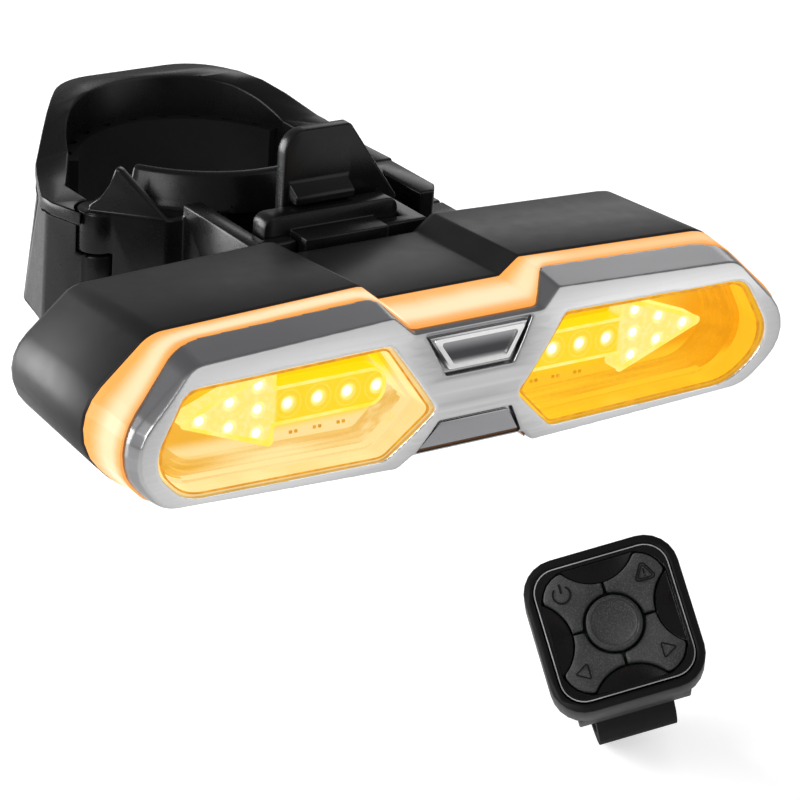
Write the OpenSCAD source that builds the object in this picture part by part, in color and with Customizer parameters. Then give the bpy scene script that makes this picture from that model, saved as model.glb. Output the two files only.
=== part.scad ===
// Bicycle turn signal light on a seatpost clamp, with its handlebar remote.
// The origin is on the axis of the seatpost bore, half way up the clamp. The lamp faces -Y.

/* [Seatpost clamp] */
// Diameter of the seatpost that the clamp grips
post_d = 31.8; // [27:0.1:34]
// Height of the clamp
clamp_h = 17.5; // [15:0.5:22]
// Thickness of the rubber pad in front of the post
pad_t = 1.5; // [1:0.1:2]
// Half the outside width of the band
band_half = 24; // [23:0.5:27]
// Wall of the band
band_t = 3; // [2.4:0.1:3.4]
// Rise of the band's top edge from its ends to its back
band_rise = 6; // [0:0.5:8]
// Distance from the bore axis to the clamp's flat front
saddle_front = 19; // [18.9:0.1:22]
// Half the width of the flat front
saddle_half = 15.7; // [15:0.1:18]
// Distance from the bore axis forward to the split between saddle and band
split_y = 11; // [9:0.5:12]
// Radius of the hinge pin
hinge_pin_r = 1.25; // [1:0.05:1.4]
// Core radius of the clamp screw
screw_r = 1.6; // [1.4:0.05:1.8]

/* [Slide socket and latch] */
// Half the width of the lamp's sliding foot
foot_half = 10; // [9:0.5:11]
// Thickness of the sliding foot's plate
foot_t = 3; // [2.5:0.1:3.4]
// Half the width of the foot's neck
neck_half = 6.2; // [5:0.1:7]
// Wall of the socket's rails
rail_t = 2.8; // [2:0.1:3.5]
// Half the width of the latch tongue
tongue_half = 5.2; // [4:0.1:6.5]
// Height of the tongue's tip over the clamp's mid-height
tongue_top = 22.5; // [20:0.5:26]
// Thickness of the tongue
tongue_t = 2; // [1.6:0.1:2.4]

/* [Lamp] */
// Half the width of the lamp, to the tip of its nose
lamp_half = 49.8; // [48:0.1:56]
// Height of the lamp's middle over the clamp's mid-height
lamp_z = 2.75; // [2:0.25:5]
// Distance from the bore axis to the back of the housing
lamp_back = 37; // [37:0.5:42]
// Depth of the rear housing
housing_depth = 20; // [19:0.5:26]
// Wall of the rear housing
housing_t = 2.2; // [1.8:0.1:2.6]
// Depth of the glowing light guide
guide_depth = 3.5; // [3:0.1:4.5]
// Further depth of the light guide at the noses and at the waist
guide_crest = 4.4; // [2:0.1:4.6]
// Depth of the bezel at its ridge
bezel_depth = 6.5; // [6:0.1:7.5]
// Radius of the bezel's bowed front
bezel_bow = 30; // [24:0.5:40]
// Thickness of the lenses
lens_t = 1; // [0.8:0.1:1.1]
// Height of the arrow over its tray
arrow_t = 2.4; // [1.8:0.1:2.6]
// Distance between the lights along the arrow's shaft
led_pitch = 4.2; // [3.8:0.1:4.4]
// Radius of one light
led_r = 0.85; // [0.6:0.05:1]

/* [Power button and charging port] */
// Distance of the button and the port from the lamp's middle
rear_x = 26; // [24:0.5:30]
// Radius of the power button
button_r = 4; // [3:0.1:4.6]
// Travel of the power button
button_travel = 0.5; // [0.3:0.05:0.6]

/* [Remote] */
// Side of the remote's square case
remote_w = 27; // [26:0.5:34]
// Diameter of the handlebar
bar_d = 25.4; // [22:0.1:31.8]
// Tilt of the remote's face from level
remote_tilt = 52; // [30:1:80]
// Turn of the remote about the upright
remote_yaw = -41; // [-60:1:60]
// Turn of the remote in the plane of its face
remote_roll = 23; // [-45:1:45]
// Radius of the remote's middle button
centre_r = 4.8; // [4.2:0.1:5.2]
// Travel of the remote's buttons
key_travel = 0.7; // [0.4:0.1:0.8]
// Width of the remote's strap
strap_w = 14; // [10:1:18]

/* [Hidden] */
$fn = 48;
// Clearances: a sliding fit, a running pin, the gap between parts on different bodies
slide_gap = 0.4;
pin_gap = 0.05;
part_gap = 0.3;
cut = 1;

bore_r = post_d / 2;
pad_r = bore_r + pad_t;
clamp_top = clamp_h / 2;
band_in = band_half - band_t;
band_back = pad_r + band_t;
lip_out = 0.5;
// The band's bends stand further out at its foot than at its lip
flare = 1.4;
ear_out = 2;
ear_y = 5.5;
lip_h = 1.8;

knuckle_r = hinge_pin_r + 1.55;
hinge_x = knuckle_r - band_half;
hinge_cap = 1.5;
knuckle_half = clamp_h / 6;

flange_w = 9;
flange_half = 5;
flange_t = 6.4;
screw_z = 5.1 - clamp_top;
screw_x = band_half + 4.6;
insert_len = 3.8;
insert_r = 2.9;
thread_r = screw_r + 0.42;

rail_in = foot_half + slide_gap;
rail_out = rail_in + rail_t;
foot_back = lamp_back - 3.8 - foot_t;
lip_y = lamp_back - 1.5;
lip_t = lip_y - foot_back - foot_t - slide_gap / 2;
floor_t = 1.5;
rail_top = clamp_top + 1.75;
foot_top = 13;
tongue_y = foot_back - 0.6;
tongue_pivot_z = -4.2;
tongue_pin_r = 0.7;
barrel_r = 1.4;

house_front = lamp_back + housing_depth;
guide_front = house_front + guide_depth;
ridge_y = guide_front + bezel_depth;
crest_y = guide_front + guide_crest;
lens_front = guide_front + 3.1;
lens_back = lens_front - lens_t;
arrow_front = lens_back - 1.4;
tray_floor = arrow_front - arrow_t;
tray_t = 0.9;
board_t = 1.2;
led_board_front = tray_floor - tray_t;
rear_inside = lamp_back + 2.5;
main_board_back = rear_inside + 3.6;
main_board_front = main_board_back + board_t;
battery_t = 8;
switch_h = 1.5;
plunger_h = 0.5;

bar_r = bar_d / 2;
remote_pad_t = 1.2;
base_low = bar_r + remote_pad_t;
case_low = base_low + 3.2;
case_h = 8.6;
case_top = case_low + case_h;
case_t = 1.6;
rim_t = 2;
key_gap = 0.25;
key_top = case_top + 1;
case_floor = 1.4;
cell_h = 3.2;
remote_board_low = case_low + case_floor + cell_h + 0.1;
remote_board_t = 1;
dome_h = 0.5;
remote_face = [104, 29, -98.5];

// Rounded outlines: each corner is [x, y, radius], and every corner gives the same count of points
arc_steps = 6;
function unit(v) = v / norm(v);
function turn(a) = a > 180 ? a - 360 : a < -180 ? a + 360 : a;
function corner_arc(p, q, s, r) =
    let (a = unit(p - q), b = unit(s - q))
    let (half = acos(a * b) / 2, c = q + unit(a + b) * r / sin(half))
    let (t0 = q + a * r / tan(half) - c, t1 = q + b * r / tan(half) - c)
    let (a0 = atan2(t0.y, t0.x), sweep = turn(atan2(t1.y, t1.x) - a0))
    [for (i = [0:arc_steps]) c + r * [cos(a0 + sweep * i / arc_steps), sin(a0 + sweep * i / arc_steps)]];
function flat(c) = [c.x, c.y];
function rounded(corners) =
    let (n = len(corners))
    [for (i = [0:n - 1])
        each corner_arc(flat(corners[(i + n - 1) % n]), flat(corners[i]), flat(corners[(i + 1) % n]),
            corners[i][2])];
function mirrored(corners) = [for (i = [len(corners) - 1:-1:0]) [-corners[i].x, corners[i].y, corners[i][2]]];

// The lamp's dumb-bell outline, drawn in by a margin, with its noses drawn in further
lobe_top = 10.4;
lobe_low = -11.3;
waist_top = 8.3;
waist_low = -9.7;
waist_half = 9;
// The nose is rounded, so its corner lies past its tip
nose_r = 7;
nose_over = 0.354 * nose_r;
shoulder_x = lamp_half - 9.2;
function lamp_side(m, nose) = [
    [waist_half - 1 + 0.3 * m, waist_low + m, 0.5],
    [waist_half + 0.8 + 0.3 * m, lobe_low + m, 0.8],
    [lamp_half - 6.1 - 0.5 * m - nose * 0.5, lobe_low + 1.5 + m, nose_r - 1 - m],
    [lamp_half + nose_over - 1.3 * m - nose, -1.2, nose_r - m],
    [shoulder_x - 0.5 * m - nose * 0.4, lobe_top - 1 - m, nose_r - 2 - m],
    [waist_half + 2.7 + 0.4 * m, lobe_top - m, 0.8],
    [waist_half + 0.4 * m, waist_top - m, 0.8]];
function lamp_outline(m, nose = 0) = rounded(concat(lamp_side(m, nose), mirrored(lamp_side(m, nose))));
function lamp_ring(y, m, nose = 0, drop = 0) =
    [for (p = lamp_outline(m, nose)) [p.x, -y, p.y + lamp_z - drop]];

// A solid through rings of equal count; each half of a ring is capped by a ladder of triangles
function ladder(a, m) = [for (i = [0:m / 2 - 1], t = [0, 1])
    t == 0 ? [a + i, a + i + 1, a + m - 1 - i] : [a + i + 1, a + m - 2 - i, a + m - 1 - i]];
function cap(a, n) = concat(ladder(a, n / 2), ladder(a + n / 2, n / 2),
    [[a, a + n / 2 - 1, a + n / 2], [a, a + n / 2, a + n - 1]]);
function reversed(faces) = [for (f = faces) [f[2], f[1], f[0]]];
function real(faces) = [for (f = faces) if (f[0] != f[1] && f[1] != f[2] && f[0] != f[2]) f];
module loft(rings) {
    n = len(rings[0]);
    last = len(rings) - 1;
    sides = [for (j = [0:last - 1], i = [0:n - 1], t = [0, 1])
        let (a = j * n + i, b = j * n + (i + 1) % n)
        t == 0 ? [a, a + n, b] : [b, a + n, b + n]];
    polyhedron(points = [for (r = rings) each r],
        faces = concat(real(cap(0, n)), sides, reversed(real(cap(last * n, n)))));
}

// A straight prism on an outline in the lamp's X-Z plane, from depth y0 forward to y1
module lamp_prism(points, y0, y1) {
    translate([0, -y0, lamp_z]) rotate([90, 0, 0]) linear_extrude(y1 - y0) polygon(points);
}
module both_sides() {
    children();
    mirror([1, 0, 0]) children();
}
module along_x(r, x0, x1) {
    translate([x0, 0, 0]) rotate([0, 90, 0]) cylinder(r = r, h = x1 - x0);
}
module along_y(r, y0, y1) {
    translate([0, -y0, 0]) rotate([90, 0, 0]) cylinder(r = r, h = y1 - y0);
}

// The band's outline, grown by g: an ear behind the hinge, then sides that draw in behind the post.
// Its bends are moved out by f
module band_outline(g, f) {
    front = -split_y - cut;
    polygon(rounded([[-band_half - g, front, 0.1], [band_half + g, front, 0.1],
        [band_half + g + f, 3 + g / 2, 6], [11.5 + g / 2, band_back + g, 9],
        [-9.5 - g / 2, band_back + g, 9], [1.6 - band_half - g - f, 4 + g / 2, 6],
        [-band_half - ear_out - g, -ear_y, 2.5]]));
}
module band_hollow() {
    front = -split_y - 2 * cut;
    circle(r = pad_r);
    polygon([[-band_in, front], [band_in, front], [band_in, -2], [pad_r - 1.4, 6],
        [1.4 - pad_r, 6], [-band_in, -2]]);
}
module band_slab(low, high) {
    // Its edges climb in a soft bend towards the back
    climb = [[-split_y - 2 * cut, 0], [-1, 0], [2, 0.06], [5, 0.24], [9, 0.62], [12, 0.84],
        [15, 0.95], [band_back + 2, 1]];
    rotate([90, 0, 90]) translate([0, 0, -band_half - 2]) linear_extrude(2 * band_half + 4)
        polygon(concat([for (c = climb) [c[0], high + band_rise * c[1]]],
            [for (i = [len(climb) - 1:-1:0]) [climb[i][0], low + band_rise * climb[i][1]]]));
}
module hinge_at() {
    translate([hinge_x, -split_y, 0]) children();
}
module screw_at() {
    translate([screw_x, 0, screw_z]) children();
}
module latch_axis() {
    translate([0, -tongue_y + tongue_t / 2, tongue_pivot_z]) children();
}

saddle_side = band_half - 0.4;
arm_front = saddle_front + 4.5;
module saddle_plan() {
    rear = split_y + part_gap / 2;
    polygon([[-saddle_half, -saddle_front], [saddle_half, -saddle_front],
        [saddle_side, -rear - 0.4], [saddle_side, -rear], [-saddle_side, -rear],
        [-saddle_side, -rear - 0.4]]);
}
module saddle_arm() {
    // The straight right cheek, with its cut-off front corner and its recessed inner panel
    rear = split_y + part_gap / 2;
    difference() {
        translate([0, 0, -clamp_top]) linear_extrude(clamp_h)
            polygon([[band_in - 0.6, -rear], [band_half, -rear], [band_half, -arm_front + 2],
                [band_half - 1.4, -arm_front], [band_in - 0.6, -arm_front]]);
        translate([band_in - 0.6 - cut, -arm_front + 1.5, 1.2])
            cube([cut + 1, arm_front - saddle_front + 2, clamp_top - 3]);
    }
}
collar_h = 4.8;
fin_top = clamp_top + 6.2;
fin_t = 1.5;
module fin() {
    // Upright gusset along the slanted left side, hollowed towards its rear end
    run = [saddle_side - saddle_half, split_y + 0.5 - saddle_front];
    low = clamp_top - 0.5;
    translate([-saddle_side, -split_y - 0.5, 0]) rotate([0, 0, atan2(run.y, run.x)])
        rotate([90, 0, 0]) translate([0, 0, -fin_t]) linear_extrude(fin_t)
            polygon([[0.5, low], [norm(run), low], [norm(run), clamp_top], [4.6, fin_top],
                [3.9, fin_top], [3.1, fin_top - 2.4], [2, fin_top - 4.2], [0.5, fin_top - 5.4]]);
}
module collar() {
    translate([0, 0, clamp_top - 0.5]) rotate_extrude(angle = 116, start = 212)
        polygon([[pad_r, 0], [pad_r + 3, 0], [pad_r + 1, collar_h], [pad_r, collar_h + 0.3]]);
}
module rails() {
    low = -clamp_top;
    both_sides() {
        translate([rail_in, -lip_y, low]) cube([rail_t, lip_y - saddle_front + cut / 2, rail_top - low]);
        translate([neck_half + slide_gap, -lip_y, low])
            cube([rail_in - neck_half - slide_gap + cut / 2, lip_t, rail_top - low]);
    }
    translate([-rail_in - cut / 2, -lip_y, low])
        cube([2 * rail_in + cut, lip_y - saddle_front + cut / 2, floor_t]);
}
module saddle() {
    color("#141416") difference() {
        union() {
            translate([0, 0, -clamp_top]) linear_extrude(clamp_h) saddle_plan();
            saddle_arm();
            collar();
            fin();
            rails();
            // Flange for the clamp screw
            translate([band_half - 1, -split_y - part_gap / 2 - flange_t, screw_z - flange_half])
                cube([flange_w + 1, flange_t, 2 * flange_half]);
            hinge_at() translate([0, 0, -clamp_top]) cylinder(r = knuckle_r, h = clamp_h);
        }
        translate([0, 0, -clamp_top - cut]) cylinder(r = pad_r, h = clamp_h + 20);
        // Room for the band's knuckle, and the hinge pin's bores
        hinge_at() {
            translate([0, 0, -knuckle_half - part_gap])
                cylinder(r = knuckle_r + part_gap, h = 2 * (knuckle_half + part_gap));
            translate([0, 0, -clamp_top - cut]) cylinder(r = hinge_pin_r, h = clamp_h - hinge_cap + cut);
        }
        // Seat of the threaded insert, open to the screw's tip
        screw_at() {
            along_y(insert_r, split_y, split_y + part_gap / 2 + insert_len);
            along_y(thread_r, split_y, split_y + flange_t + cut);
        }
        latch_axis() along_x(tongue_pin_r, -rail_out - cut, rail_out + cut);
    }
}
module saddle_pad() {
    color("#0b0b0c") translate([0, 0, -clamp_top]) rotate_extrude(angle = 96, start = 222)
        translate([bore_r, 0]) square([pad_t, clamp_h]);
}
module hinge_pin() {
    color("#b9bcc0") hinge_at() translate([0, 0, -clamp_top])
        cylinder(r = hinge_pin_r, h = clamp_h - hinge_cap);
}
module screw_insert() {
    color("#c8a24a") screw_at() difference() {
        along_y(insert_r, split_y + part_gap / 2, split_y + part_gap / 2 + insert_len);
        along_y(thread_r, split_y - cut, split_y + flange_t + cut);
    }
}

flange_back = split_y - part_gap / 2 - flange_t;
module band_wall() {
    difference() {
        union() {
            intersection() {
                hull() {
                    translate([0, 0, -clamp_top]) linear_extrude(0.1) band_outline(0, flare);
                    translate([0, 0, clamp_top + band_rise]) linear_extrude(0.1) band_outline(0, -flare);
                }
                band_slab(-clamp_h - band_rise, clamp_top);
            }
            intersection() {
                translate([0, 0, -clamp_top]) linear_extrude(clamp_h + band_rise + 2)
                    band_outline(lip_out, -flare / 2);
                band_slab(clamp_top - lip_h, clamp_top);
            }
        }
        translate([0, 0, -clamp_top - cut]) linear_extrude(clamp_h + band_rise + 4 * cut) band_hollow();
    }
}
module band() {
    color("#161618") difference() {
        union() {
            band_wall();
            // Flange for the clamp screw
            translate([band_half - 1, part_gap / 2 - split_y, screw_z - flange_half])
                cube([flange_w + 1, flange_t, 2 * flange_half]);
            hinge_at() translate([0, 0, -knuckle_half]) cylinder(r = knuckle_r, h = 2 * knuckle_half);
        }
        // Split line against the saddle
        translate([-band_half - 5, -split_y - 20 + part_gap / 2, -clamp_top - cut])
            difference() {
                cube([2 * band_half + 20, 20, clamp_h + 10]);
                translate([band_half + 5 + hinge_x, 20 - part_gap / 2, 0])
                    cylinder(r = knuckle_r + cut, h = clamp_h + 10);
            }
        // Room for the saddle's knuckles, and the running bore
        hinge_at() {
            translate([0, 0, -clamp_top - cut])
                cylinder(r = knuckle_r + part_gap, h = clamp_top + cut - knuckle_half);
            translate([0, 0, knuckle_half])
                cylinder(r = knuckle_r + part_gap, h = clamp_top + band_rise - knuckle_half);
            translate([0, 0, -clamp_top]) cylinder(r = hinge_pin_r + pin_gap, h = clamp_h);
        }
        screw_at() along_y(screw_r + 0.5, flange_back - cut, split_y + cut);
    }
}
module band_pad() {
    color("#0b0b0c") translate([0, 0, -clamp_top]) difference() {
        rotate_extrude(angle = 140, start = 20) translate([bore_r, 0]) square([pad_t, clamp_h]);
        // Flutes that let the rubber give
        for (a = [30:15:150])
            rotate([0, 0, a]) translate([pad_r, 0, -cut]) cylinder(r = pad_t / 2, h = clamp_h + 2 * cut);
    }
}
module clamp_screw() {
    color("#9ea2a6") screw_at() difference() {
        union() {
            along_y(screw_r, flange_back - 0.1, split_y + part_gap / 2 + insert_len + 0.4);
            along_y(screw_r + 1.9, flange_back - 2.6, flange_back);
        }
        translate([0, -flange_back + 3, 0]) rotate([90, 0, 0]) cylinder(r = 1.7, h = 2, $fn = 6);
    }
}

module latch_pin() {
    color("#b9bcc0") latch_axis() along_x(tongue_pin_r, -rail_out, rail_out);
}
catch_low = foot_top + 0.2;
catch_h = 2.9;
catch_reach = 2;
module latch_tongue() {
    // The plate spreads to the right over the rail, up from its waist
    plate = [[-tongue_half, tongue_pivot_z, 0.3], [tongue_half, tongue_pivot_z, 0.3],
        [tongue_half, rail_top + 0.7, 0.3], [rail_out - 0.6, rail_top + 0.7, 0.4],
        [tongue_half - 0.6, tongue_top, 0.8], [-tongue_half, tongue_top, 3]];
    color("#17171a") difference() {
        union() {
            translate([0, -tongue_y + tongue_t, 0]) rotate([90, 0, 0])
                linear_extrude(tongue_t) polygon(rounded(plate));
            latch_axis() along_x(barrel_r, -rail_in + part_gap, rail_in - part_gap);
            // Catch over the foot, with its sloping lead-in
            rotate([90, 0, 90]) translate([0, 0, -tongue_half + 0.8]) linear_extrude(2 * tongue_half - 1.6)
                polygon([[-tongue_y + 0.5, catch_low], [-tongue_y - catch_reach, catch_low],
                    [-tongue_y - catch_reach, catch_low + 1.2], [-tongue_y + 0.5, catch_low + catch_h]]);
        }
        latch_axis() along_x(tongue_pin_r + pin_gap, -rail_out, rail_out);
    }
}

// Lamp: the foot, the shells and what they hold
foot_screw_gap = 4;
foot_screw_r = 1.1;
foot_head_r = 2.1;
foot_head_h = 1.6;
module foot_screws_at() {
    for (z = [-foot_screw_gap, foot_screw_gap]) translate([0, 0, lamp_z + z]) children();
}
module slide_foot() {
    neck_low = -clamp_top + floor_t + 1;
    color("#18181a") difference() {
        union() {
            translate([-neck_half, -lamp_back, neck_low])
                cube([2 * neck_half, lamp_back - foot_back - foot_t / 2, foot_top - 2 - neck_low]);
            translate([0, -foot_back, 0]) rotate([90, 0, 0]) linear_extrude(foot_t)
                polygon(rounded([[-foot_half, -clamp_top + floor_t, 1], [foot_half, -clamp_top + floor_t, 1],
                    [foot_half, foot_top, 1.5], [-foot_half, foot_top, 1.5]]));
        }
        foot_screws_at() {
            along_y(foot_head_r, foot_back - cut, foot_back + foot_head_h);
            along_y(foot_screw_r, foot_back, lamp_back + cut);
        }
    }
}
boss_len = 2.6;
module foot_screws() {
    color("#a7abb0") foot_screws_at() difference() {
        union() {
            along_y(foot_head_r, foot_back + 0.1, foot_back + foot_head_h);
            along_y(foot_screw_r, foot_back + foot_head_h - 0.1, rear_inside + boss_len - 0.4);
        }
        translate([0, -foot_back - 1, 0]) rotate([-90, 0, 0]) cylinder(r = 1, h = 2, $fn = 6);
    }
}

port_w = 13.6;
port_h = 7.4;
port_recess = 1.4;
port_r = 1.6;
cover_t = 1.3;
cover_barrel_r = 0.9;
cover_axis_y = lamp_back + 0.5;
cover_axis_z = lamp_z - port_h / 2 - 0.5;
usb_w = 8.9;
usb_h = 3.2;
usb_front = lamp_back + 1.9;
module port_at() {
    translate([-rear_x, 0, 0]) children();
}
module cover_axis() {
    translate([0, -cover_axis_y, cover_axis_z]) children();
}
function pill(w, h, r) =
    rounded([[-w / 2, -h / 2, r], [w / 2, -h / 2, r], [w / 2, h / 2, r], [-w / 2, h / 2, r]]);
cavity_in = housing_t + 0.6;
seal_t = 0.8;
main_half = rear_x + 10;
main_h = 10.4;
post_at = [main_half - 2.5, main_h / 2 - 2];
module rear_housing() {
    color("#1b1b1d") difference() {
        union() {
            difference() {
                loft([lamp_ring(lamp_back, 2.1), lamp_ring(lamp_back + 0.5, 1.35),
                    lamp_ring(lamp_back + 1.6, 0.95), lamp_ring(house_front - 0.4, 0),
                    lamp_ring(house_front, 0.25)]);
                lamp_prism(lamp_outline(cavity_in), rear_inside, house_front + cut);
            }
            // Bosses for the foot's screws and posts for the main board
            foot_screws_at() along_y(foot_head_r + 0.4, rear_inside - cut, rear_inside + boss_len);
            for (x = [-post_at.x, post_at.x], z = [-post_at.y, post_at.y])
                translate([x, 0, lamp_z + z]) along_y(1.4, rear_inside - cut, main_board_back);
        }
        difference() {
            lamp_prism(lamp_outline(1.2), house_front - seal_t, house_front + cut);
            lamp_prism(lamp_outline(2.0), house_front - seal_t - cut, house_front + 2 * cut);
        }
        foot_screws_at() along_y(foot_screw_r, lamp_back - cut, rear_inside + boss_len + cut);
        translate([rear_x, 0, lamp_z]) along_y(button_r + 0.2, lamp_back - cut, rear_inside + cut);
        port_at() {
            lamp_prism(pill(port_w, port_h, port_r), lamp_back - cut, lamp_back + port_recess);
            lamp_prism(pill(usb_w + 0.6, usb_h + 0.6, 1.7), lamp_back, rear_inside + cut);
            cover_axis() along_x(cover_barrel_r + part_gap, -port_w / 2 + 0.6, port_w / 2 - 0.6);
            translate([-port_w / 2 + 0.6, -cover_axis_y, cover_axis_z - cover_barrel_r - part_gap])
                cube([port_w - 1.2, 4, port_h / 2]);
        }
    }
}
module seal_ring() {
    color("#0a0a0a") difference() {
        lamp_prism(lamp_outline(1.2), house_front - seal_t, house_front);
        lamp_prism(lamp_outline(2.0), house_front - seal_t - cut, house_front + cut);
    }
}
guide_in = 1.3;
// The guide's front edge in plan: level along the lobes, forward at the waist and round the noses
function crest_side() = [[waist_half, -crest_y, 1.5], [waist_half + 3.6, -guide_front, 1.5],
    [shoulder_x - 4, -guide_front, 8], [lamp_half - 0.5, -crest_y, 2], [lamp_half + 5, -crest_y, 0.2]];
module behind_crest() {
    back = [[lamp_half + 5, cut - house_front, 0.2], [-lamp_half - 5, cut - house_front, 0.2]];
    translate([0, 0, lamp_z - 20]) linear_extrude(40)
        polygon(rounded(concat(crest_side(), back, mirrored(crest_side()))));
}
module guide_shell() {
    difference() {
        intersection() {
            loft([lamp_ring(house_front, 0.25), lamp_ring(house_front + 0.6, 0.05),
                lamp_ring(guide_front, 0.3, 0.3), lamp_ring(crest_y + cut, 0.6, 0.4, 0.4)]);
            behind_crest();
        }
        lamp_prism(lamp_outline(guide_in), house_front - cut, crest_y + 2 * cut);
    }
}
module light_guide() {
    color("#ffb347") guide_shell();
}

// The bezel's bowed front, as a cylinder along X that is a given depth under the surface
module bow(under) {
    translate([0, bezel_bow - ridge_y, lamp_z - 0.5])
        along_x(bezel_bow - under, -lamp_half - 5, lamp_half + 5);
}
function window(m) = rounded([[12.4 - 0.4 * m, -8.9 - m, 2], [lamp_half - 9.9 + 0.5 * m, -8.2 - m, 6],
    [lamp_half - 4.5 + 1.2 * m, -3, 5], [lamp_half - 9.1 + 0.5 * m, 5.3 + m, 3],
    [13 - 0.6 * m, 5.7 + m, 1.2], [6.5 - 1.3 * m, -3.2, 0.9]]);
badge = [[-4.4, 1.6], [4.4, 1.6], [7.3, 6], [-7.3, 6]];
lower_badge = [[-7.4, -8.6], [7.4, -8.6], [5, -5.2], [-5, -5.2]];
function grown(outline, m) =
    let (top = max([for (p = outline) p.y]))
    [for (p = outline) [p.x + m * sign(p.x), p.y == top ? p.y + m : p.y - m]];
pocket = 0.9;
bezel_wall = 1.1;
module bezel() {
    color("#c9cbd0") difference() {
        intersection() {
            loft([lamp_ring(guide_front, 0.3, 0.3), lamp_ring(ridge_y - 1.6, 0.85, 0.6, 0.4),
                lamp_ring(ridge_y + 0.5, 1.5, 1, 0.4)]);
            bow(0);
        }
        guide_shell();
        lamp_prism(lamp_outline(bezel_wall, 0.9), guide_front - cut, lens_front);
        both_sides() {
            lamp_prism(window(0), guide_front, ridge_y + cut);
            // The frame's inner edge falls away towards the lens
            translate([0, -lens_front, lamp_z]) rotate([90, 0, 0]) hull() {
                linear_extrude(0.01) polygon(window(0));
                translate([0, 0, bezel_depth]) linear_extrude(0.01) polygon(window(0.9));
            }
        }
        difference() {
            union() {
                lamp_prism(grown(badge, 0.5), lens_front, ridge_y + cut);
                lamp_prism(grown(lower_badge, 0.4), lens_front, ridge_y + cut);
            }
            bow(pocket);
        }
    }
}
module plate(outline) {
    intersection() {
        difference() {
            lamp_prism(outline, lens_front - cut, ridge_y + cut);
            bow(pocket);
        }
        bow(0.25);
    }
}
module badge_plate() {
    color("#b4b7bd") plate(badge);
}
module lower_plate() {
    color("#b4b7bd") plate(lower_badge);
}
module lens() {
    color("#ffcc33", 0.5) lamp_prism(window(0.4), lens_back, lens_front);
}
led_z = -1.2;
arrow_root = 9.75;
barb_x = 25.5;
column_x = barb_x + 2.3;
tip_gap = 3.7;
led_places = concat([for (i = [1:4]) [column_x - led_pitch * i, 0]],
    [for (z = [-3.05, 0, 3.05]) [column_x, z]],
    [for (z = [-1.6, 1.6]) [column_x + 0.93 * led_pitch, z]], [[column_x + 1.9 * led_pitch, 0]]);
module leds_at() {
    for (p = led_places) translate([p.x, 0, lamp_z + led_z + p.y]) children();
}
module tray() {
    color("#f2a81d") difference() {
        lamp_prism(window(0.2), led_board_front, lens_back);
        lamp_prism(window(-0.6), tray_floor, lens_back + cut);
        leds_at() along_y(led_r + 0.15, led_board_front - cut, lens_back);
    }
}
module arrow() {
    shaft = 2.5;
    barb = 5.3;
    tip_x = column_x + 1.9 * led_pitch + tip_gap;
    outline = rounded([[arrow_root, led_z - shaft, 2.2], [barb_x, led_z - shaft, 0.5],
        [barb_x, led_z - barb, 0.8], [tip_x, led_z, 0.8], [barb_x, led_z + barb, 0.8],
        [barb_x, led_z + shaft, 0.5], [arrow_root, led_z + shaft, 2.2]]);
    color("#fff2a0") difference() {
        lamp_prism(outline, tray_floor, arrow_front);
        leds_at() along_y(led_r + 0.15, led_board_front - cut, lens_back);
    }
}
module right_lens() { lens(); }
module left_lens() { mirror([1, 0, 0]) lens(); }
module right_tray() { tray(); }
module left_tray() { mirror([1, 0, 0]) tray(); }
module right_arrow() { arrow(); }
module left_arrow() { mirror([1, 0, 0]) arrow(); }
module led_board() {
    color("#f4f0dc") lamp_prism(lamp_outline(3.1), led_board_front - board_t, led_board_front);
}
module leds() {
    color("#ffffff") both_sides() leds_at() along_y(led_r, led_board_front, arrow_front - 0.2);
}
module main_board() {
    color("#1f6b3a") lamp_prism(pill(2 * main_half, main_h, 1), main_board_back, main_board_front);
}
module battery() {
    color("#9aa0a8") lamp_prism(pill(1.1 * main_half, main_h - 0.6, 1.2),
        main_board_front, main_board_front + battery_t);
}
module usb_socket() {
    color("#c2c5c9") port_at() difference() {
        lamp_prism(pill(usb_w, usb_h, 1.5), usb_front, main_board_back);
        lamp_prism(pill(usb_w - 0.6, usb_h - 0.6, 1.2), usb_front - cut, main_board_back - 0.5);
    }
}
module power_switch() {
    color("#3a3a3c") translate([rear_x, 0, lamp_z]) {
        translate([-2.5, -main_board_back, -2.5]) cube([5, switch_h, 5]);
        along_y(1.2, main_board_back - switch_h - plunger_h, main_board_back - switch_h + 0.1);
    }
}
module power_button() {
    inner = main_board_back - switch_h - plunger_h - button_travel - 0.1;
    color("#222226") translate([rear_x, 0, lamp_z]) difference() {
        union() {
            along_y(button_r, lamp_back - 0.5, inner);
            along_y(button_r + 1, rear_inside + 0.1, inner);
        }
        // Finger dish
        translate([0, -lamp_back + 7.6, 0]) sphere(r = 7.5);
    }
}
module port_cover() {
    color("#121214") port_at() {
        difference() {
            lamp_prism(pill(port_w - 2 * part_gap, port_h - 2 * part_gap, port_r - part_gap),
                lamp_back + 0.05, lamp_back + cover_t);
            cover_axis() along_x(cover_barrel_r - 0.1, -port_w, port_w);
        }
        lamp_prism(pill(usb_w - 1.4, usb_h - 1.4, 0.8), lamp_back + cover_t - 0.2, usb_front + 0.5);
        cover_axis() along_x(cover_barrel_r, -port_w / 2 + 1.2, port_w / 2 - 1.2);
    }
}

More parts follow.
